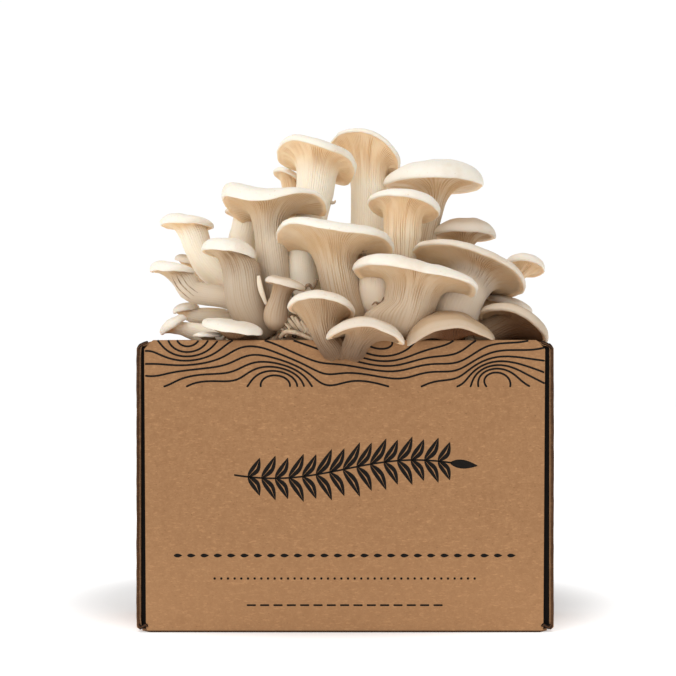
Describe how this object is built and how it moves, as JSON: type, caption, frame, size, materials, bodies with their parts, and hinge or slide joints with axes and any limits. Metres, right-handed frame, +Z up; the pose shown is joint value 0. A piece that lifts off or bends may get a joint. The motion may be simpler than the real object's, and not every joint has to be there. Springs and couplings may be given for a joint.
{
  "type": "oyster mushroom grow kit",
  "caption": "Cluster of pale oyster mushrooms growing out of a torn opening in the top edge of an upright kraft corrugated mailer box that holds a bagged sawdust block.",
  "frame": {"origin": "middle of the box's underside, where it stands on the table", "axes": "+Z up, -Y towards the front, which is the printed lid of the box, +X towards the viewer's right"},
  "size_m": [0.2519, 0.137, 0.3097],
  "materials": {
    "kraft_board": "matt",
    "bag_film": "translucent film",
    "mycelium": "matt",
    "mushroom_base": "matt",
    "mushroom_flesh": "satin"
  },
  "bodies": {
    "root": {"cluster_base": "mushroom_base", "grow_bag": "bag_film", "mailer_box": "kraft_board", "mushroom_back_left": "mushroom_flesh", "mushroom_back_middle": "mushroom_flesh", "mushroom_back_right": "mushroom_flesh", "mushroom_front_bulb": "mushroom_flesh", "mushroom_front_edge": "mushroom_flesh", "mushroom_front_low": "mushroom_flesh", "mushroom_front_middle": "mushroom_flesh", "mushroom_front_right": "mushroom_flesh", "mushroom_left_behind": "mushroom_flesh", "mushroom_left_curved": "mushroom_flesh", "mushroom_left_flat": "mushroom_flesh", "mushroom_left_front": "mushroom_flesh", "mushroom_left_low": "mushroom_flesh", "mushroom_left_small": "mushroom_flesh", "mushroom_left_tiny": "mushroom_flesh", "mushroom_left_upper": "mushroom_flesh", "mushroom_right_arched": "mushroom_flesh", "mushroom_right_back": "mushroom_flesh", "mushroom_right_far": "mushroom_flesh", "mushroom_right_large": "mushroom_flesh", "mushroom_right_low": "mushroom_flesh", "mushroom_right_tucked": "mushroom_flesh", "mushroom_tall_left": "mushroom_flesh", "mushroom_tall_left_back": "mushroom_flesh", "mushroom_top_back": "mushroom_flesh", "mushroom_top_left": "mushroom_flesh", "mushroom_top_left_small": "mushroom_flesh", "mushroom_top_right": "mushroom_flesh", "mushroom_upper_middle": "mushroom_flesh", "pin_tangle": "mushroom_base", "substrate_block": "mycelium", "torn_stub": "mushroom_flesh"}
  },
  "joints": []
}
